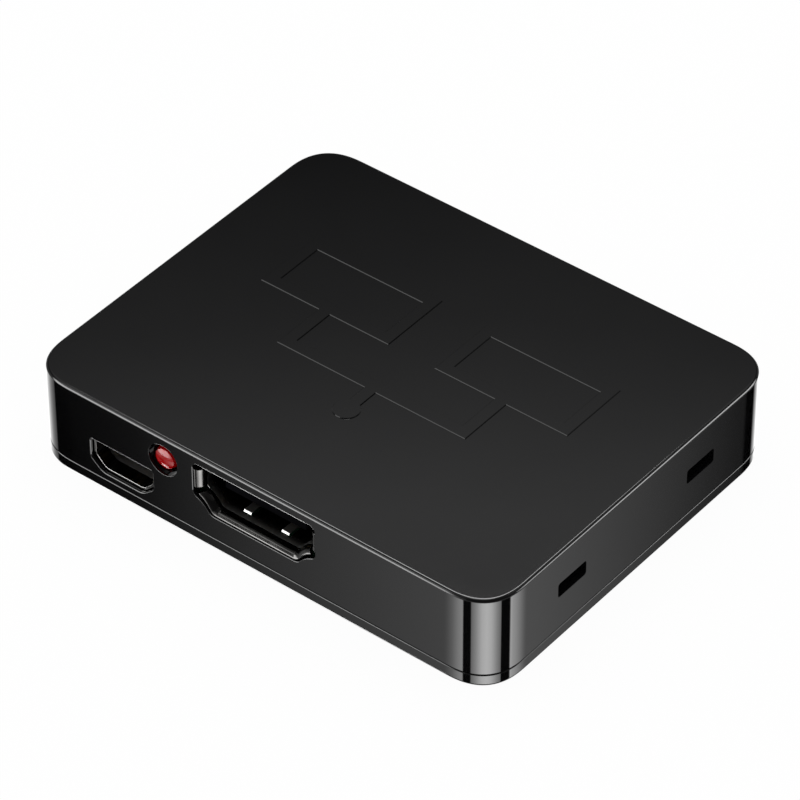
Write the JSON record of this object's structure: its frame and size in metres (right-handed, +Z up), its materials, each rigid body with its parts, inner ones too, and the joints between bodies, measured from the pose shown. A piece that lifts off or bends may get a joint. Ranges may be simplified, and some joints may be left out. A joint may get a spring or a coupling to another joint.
{
  "type": "video splitter",
  "caption": "Flat black box that copies one video signal to several outputs, with flared metal sockets, a power inlet, a red indicator and a lift-off top case.",
  "frame": {"origin": "middle of the underside of the bottom cover", "axes": "+X along the input face to the right when facing it, +Y from the input face to the output face, +Z up"},
  "size_m": [0.06, 0.0478, 0.0116],
  "materials": {
    "case_plastic": "glossy black moulding",
    "screw_steel": "zinc plated",
    "board_laminate": "green solder mask",
    "red_lens": "clear red, polished",
    "red_diode": "diffuse red resin",
    "tinned_lead": "tin plated",
    "socket_steel": "bright nickel plated sheet",
    "socket_plastic": "matte black",
    "contact_gold": "gold plated",
    "chip_resin": "moulded resin",
    "can_metal": "bright can",
    "ferrite": "sintered ferrite",
    "ceramic_tan": "fired ceramic"
  },
  "bodies": {
    "base": {"bottom_cover": "case_plastic", "case_screws": "screw_steel", "circuit_board": "board_laminate", "board_screws": "screw_steel", "indicator_diode": "red_diode", "indicator_leads": "tinned_lead", "power_shell": "socket_steel", "power_tongue": "socket_plastic", "power_contacts": "contact_gold", "video_in_shell": "socket_steel", "video_in_tongue": "socket_plastic", "video_in_contacts": "contact_gold", "video_out_a_shell": "socket_steel", "video_out_a_tongue": "socket_plastic", "video_out_a_contacts": "contact_gold", "video_out_b_shell": "socket_steel", "video_out_b_tongue": "socket_plastic", "video_out_b_contacts": "contact_gold", "splitter_chip": "chip_resin", "splitter_chip_leads": "tinned_lead", "memory_chip": "chip_resin", "memory_chip_leads": "tinned_lead", "regulator": "chip_resin", "regulator_leads": "tinned_lead", "crystal": "can_metal", "crystal_base": "chip_resin", "inductor": "ferrite", "filter_capacitors": "can_metal", "filter_capacitor_bases": "chip_resin", "chip_capacitors": "ceramic_tan", "chip_resistors": "chip_resin", "surge_arrays": "chip_resin"},
    "upper_case": {"top_case": "case_plastic", "indicator_lens": "red_lens"},
    "input_springs": {"video_in_springs": "socket_steel"},
    "output_a_springs": {"video_out_a_springs": "socket_steel"},
    "output_b_springs": {"video_out_b_springs": "socket_steel"}
  },
  "joints": [
    {"name": "case_lift", "type": "slide", "parent": "base", "child": "upper_case", "axis": [0, 0, 1], "range_m": [0, 0.025]},
    {"name": "input_spring_flex", "type": "hinge", "parent": "base", "child": "input_springs", "pos_m": [0, -0.01695, 0.00502], "axis": [1, 0, 0], "range_deg": [0, 3], "stiffness_Nm_per_rad": 0.05},
    {"name": "output_a_spring_flex", "type": "hinge", "parent": "base", "child": "output_a_springs", "pos_m": [-0.01457, 0.01695, 0.00502], "axis": [-1, 0, 0], "range_deg": [0, 3], "stiffness_Nm_per_rad": 0.05},
    {"name": "output_b_spring_flex", "type": "hinge", "parent": "base", "child": "output_b_springs", "pos_m": [0.01457, 0.01695, 0.00502], "axis": [-1, 0, 0], "range_deg": [0, 3], "stiffness_Nm_per_rad": 0.05}
  ]
}
